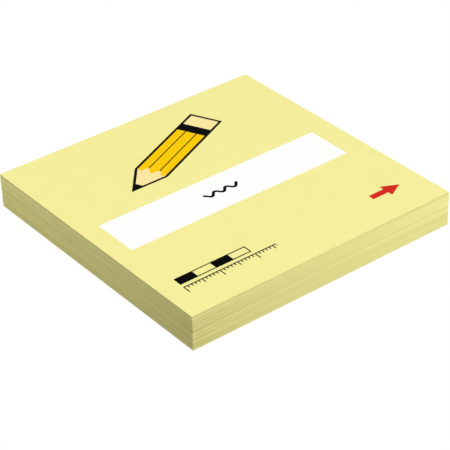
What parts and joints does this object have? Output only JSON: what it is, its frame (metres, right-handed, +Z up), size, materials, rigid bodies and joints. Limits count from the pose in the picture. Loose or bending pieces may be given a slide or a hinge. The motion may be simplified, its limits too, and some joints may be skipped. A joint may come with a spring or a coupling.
{
  "type": "sticky note pad",
  "caption": "Square pad of pale yellow sticky notes with a printed cover sheet, a block of notes gummed along one edge and a backing sheet.",
  "frame": {"origin": "centre of the underside, where the pad lies on a table", "axes": "+X left to right as the cover is read, +Y from the free edge to the gummed edge, +Z up out of the cover"},
  "size_m": [0.0762, 0.0762, 0.0091],
  "materials": {
    "cover_paper": "matte",
    "note_paper": "matte",
    "backing_paper": "matte"
  },
  "bodies": {
    "root": {"cover_sheet": "cover_paper", "note_block": "note_paper", "backing_sheet": "backing_paper"}
  },
  "joints": []
}
